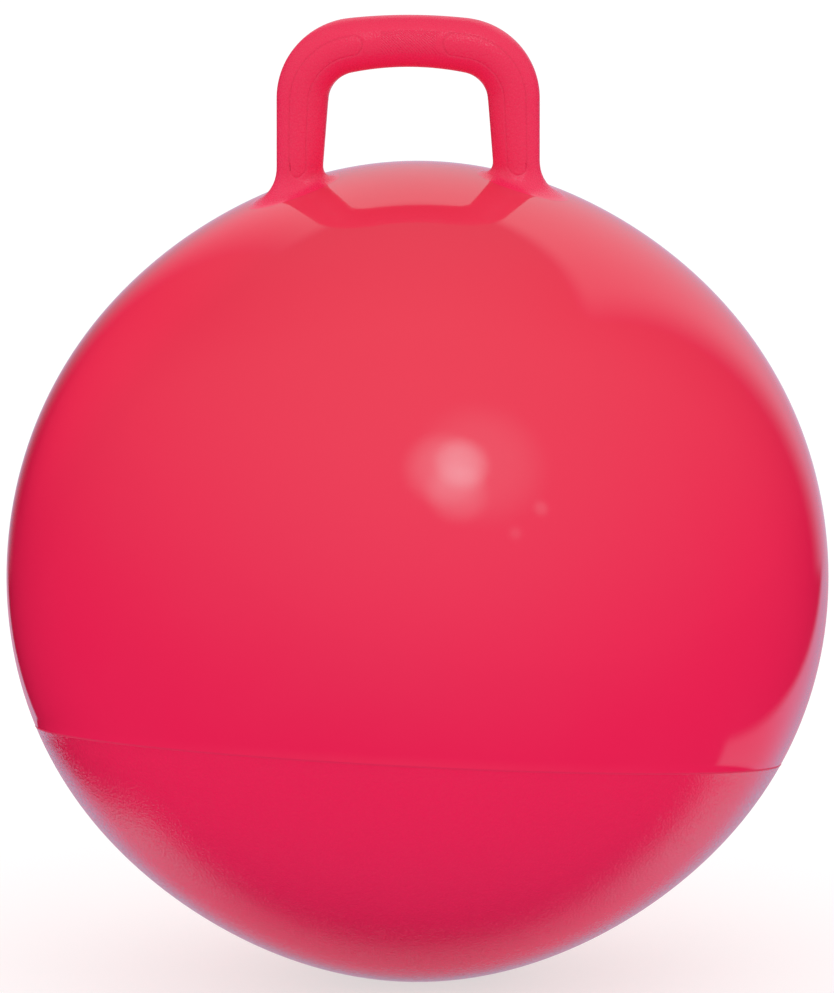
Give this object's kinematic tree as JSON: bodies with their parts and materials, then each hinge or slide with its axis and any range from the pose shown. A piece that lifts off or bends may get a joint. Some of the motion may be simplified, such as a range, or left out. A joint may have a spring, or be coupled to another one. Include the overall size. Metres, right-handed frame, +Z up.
{
  "type": "hopper ball",
  "caption": "Child's hopper ball: a hollow soft ball with one closed loop handle on top and a push-in plug valve at the rear.",
  "frame": {"origin": "middle of the flat patch that the ball stands on", "axes": "+Z up through the ball to the handle, the grip bar runs along X, the front is -Y and the valve is on the +Y side"},
  "size_m": [0.55, 0.55, 0.6534],
  "materials": {
    "ball": "glossy soft vinyl, finely grained below the parting rib",
    "handle": "satin soft vinyl with stippled grip panels",
    "seat": "smooth soft vinyl",
    "plug": "satin white polyethylene"
  },
  "bodies": {
    "ball": {"ball_skin": "ball", "loop_handle": "handle", "valve_seat": "seat"},
    "plug": {"valve_plug": "plug"}
  },
  "joints": [
    {"name": "plug_pull", "type": "slide", "parent": "ball", "child": "plug", "axis": [0, 0.848, 0.5299], "range_m": [0, 0.028]}
  ]
}
